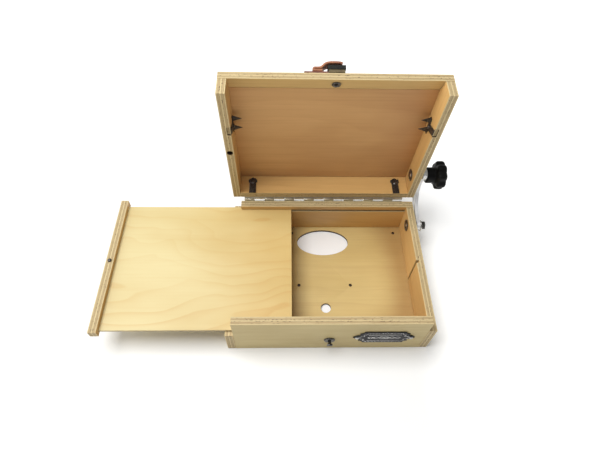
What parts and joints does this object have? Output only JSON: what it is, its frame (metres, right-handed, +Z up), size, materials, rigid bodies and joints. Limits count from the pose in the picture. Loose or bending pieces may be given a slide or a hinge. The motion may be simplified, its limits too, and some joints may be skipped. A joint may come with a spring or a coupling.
{
  "type": "pochade box artist easel",
  "caption": "Hinged plywood paint box that opens into a small easel, with a sliding palette, a slotted lid stay with clamping knob, and swivelling panel clips.",
  "frame": {"origin": "centre of the base's underside, on the floor panel", "axes": "+X to the right seen from the front, along the piano hinge; +Y to the rear, where the lid is hinged; +Z up"},
  "size_m": [0.4261, 0.2302, 0.2523],
  "materials": {
    "birch_ply": "satin oiled birch plywood, cream laminated edges",
    "interior_ply": "satin oiled birch plywood, warm brown faces",
    "palette_face": "satin sealed thin birch ply with cathedral grain",
    "black_spring_steel": "blackened spring steel",
    "black_steel": "blackened steel, satin",
    "nickel": "nickel plated, slightly brushed",
    "aluminium": "satin aluminium",
    "black_plastic": "matte moulded black",
    "leather": "russet saddle leather, edges darker",
    "pewter": "dark antiqued pewter with bright high spots"
  },
  "bodies": {
    "base": {"base_front_wall": "birch_ply", "base_rear_wall": "birch_ply", "base_left_wall": "birch_ply", "base_right_wall": "birch_ply", "base_floor": "interior_ply", "hinge_leaf_base": "nickel", "hinge_pin": "nickel", "hinge_base_screw_1": "nickel", "hinge_base_screw_2": "nickel", "hinge_base_screw_3": "nickel", "hinge_base_screw_4": "nickel", "stay_tee_nut_base": "black_steel", "stay_pivot_bolt": "nickel", "stay_spacer_base": "nickel", "stay_washer_base": "nickel", "stay_pivot_nut": "black_steel", "turnlock_base": "nickel", "label_plate": "pewter", "label_pin_left": "pewter", "label_pin_right": "pewter"},
    "palette": {"palette_panel": "palette_face", "palette_strip": "birch_ply", "palette_lock_pin": "black_steel"},
    "lid": {"lid_panel": "interior_ply", "lid_front_slope": "birch_ply", "lid_rail_left": "birch_ply", "lid_rail_right": "birch_ply", "lid_rail_rear": "birch_ply", "hinge_leaf_lid": "nickel", "hinge_lid_screw_1": "nickel", "hinge_lid_screw_2": "nickel", "hinge_lid_screw_3": "nickel", "hinge_lid_screw_4": "nickel", "clip_left_screw": "nickel", "clip_right_screw": "nickel", "clip_rear_left_screw": "nickel", "clip_rear_right_screw": "nickel", "stay_tee_nut_lid": "black_steel", "knob_bolt": "nickel", "stay_spacer_lid": "nickel", "stay_washer_lid": "nickel", "strap_tab": "leather", "strap_insert": "nickel", "strap_screw": "black_steel"},
    "stay_arm": {"stay_arm": "aluminium"},
    "knob": {"knob": "black_plastic"},
    "turn_post": {"turnlock_post": "black_steel"},
    "strap": {"strap_fold": "leather", "strap_keeper": "black_steel", "turnlock_plate": "pewter"},
    "clip_left": {"clip_left": "black_spring_steel"},
    "clip_right": {"clip_right": "black_spring_steel"},
    "clip_rear_left": {"clip_rear_left": "black_spring_steel"},
    "clip_rear_right": {"clip_rear_right": "black_spring_steel"}
  },
  "joints": [
    {"name": "palette_slide", "type": "slide", "parent": "base", "child": "palette", "axis": [1, 0, 0], "range_m": [-0.045, 0.1505]},
    {"name": "lid_hinge", "type": "hinge", "parent": "base", "child": "lid", "pos_m": [0, 0.097, 0.0555], "axis": [-1, 0, 0], "range_deg": [-85, 8]},
    {"name": "stay_pivot", "type": "hinge", "parent": "base", "child": "stay_arm", "pos_m": [0.1263, 0.06158, 0.03966], "axis": [-1, 0, 0], "range_deg": [-85, 8]},
    {"name": "knob_turn", "type": "hinge", "parent": "lid", "child": "knob", "pos_m": [0.1306, 0.10407, 0.09365], "axis": [1, 0, 0], "continuous": true},
    {"name": "turnlock_turn", "type": "hinge", "parent": "base", "child": "turn_post", "pos_m": [0, -0.0925, 0.027], "axis": [0, -1, 0], "range_deg": [0, 90]},
    {"name": "strap_swing", "type": "hinge", "parent": "lid", "child": "strap", "pos_m": [0, 0.10778, 0.24667], "axis": [1, 0, 0], "range_deg": [0, 130]},
    {"name": "clip_left_turn", "type": "hinge", "parent": "lid", "child": "clip_left", "pos_m": [-0.1115, 0.09877, 0.18214], "axis": [1, 0, 0], "range_deg": [-35, 35]},
    {"name": "clip_right_turn", "type": "hinge", "parent": "lid", "child": "clip_right", "pos_m": [0.1115, 0.09877, 0.18214], "axis": [-1, 0, 0], "range_deg": [-35, 35]},
    {"name": "clip_rear_left_turn", "type": "hinge", "parent": "lid", "child": "clip_rear_left", "pos_m": [-0.0955, 0.10853, 0.07056], "axis": [0, -0.0872, 0.9962], "range_deg": [-50, 50]},
    {"name": "clip_rear_right_turn", "type": "hinge", "parent": "lid", "child": "clip_rear_right", "pos_m": [0.0955, 0.10853, 0.07056], "axis": [0, -0.0872, 0.9962], "range_deg": [-50, 50]}
  ],
  "couplings": [
    {"joint": "stay_pivot", "follows": "lid_hinge", "ratio": 1}
  ]
}
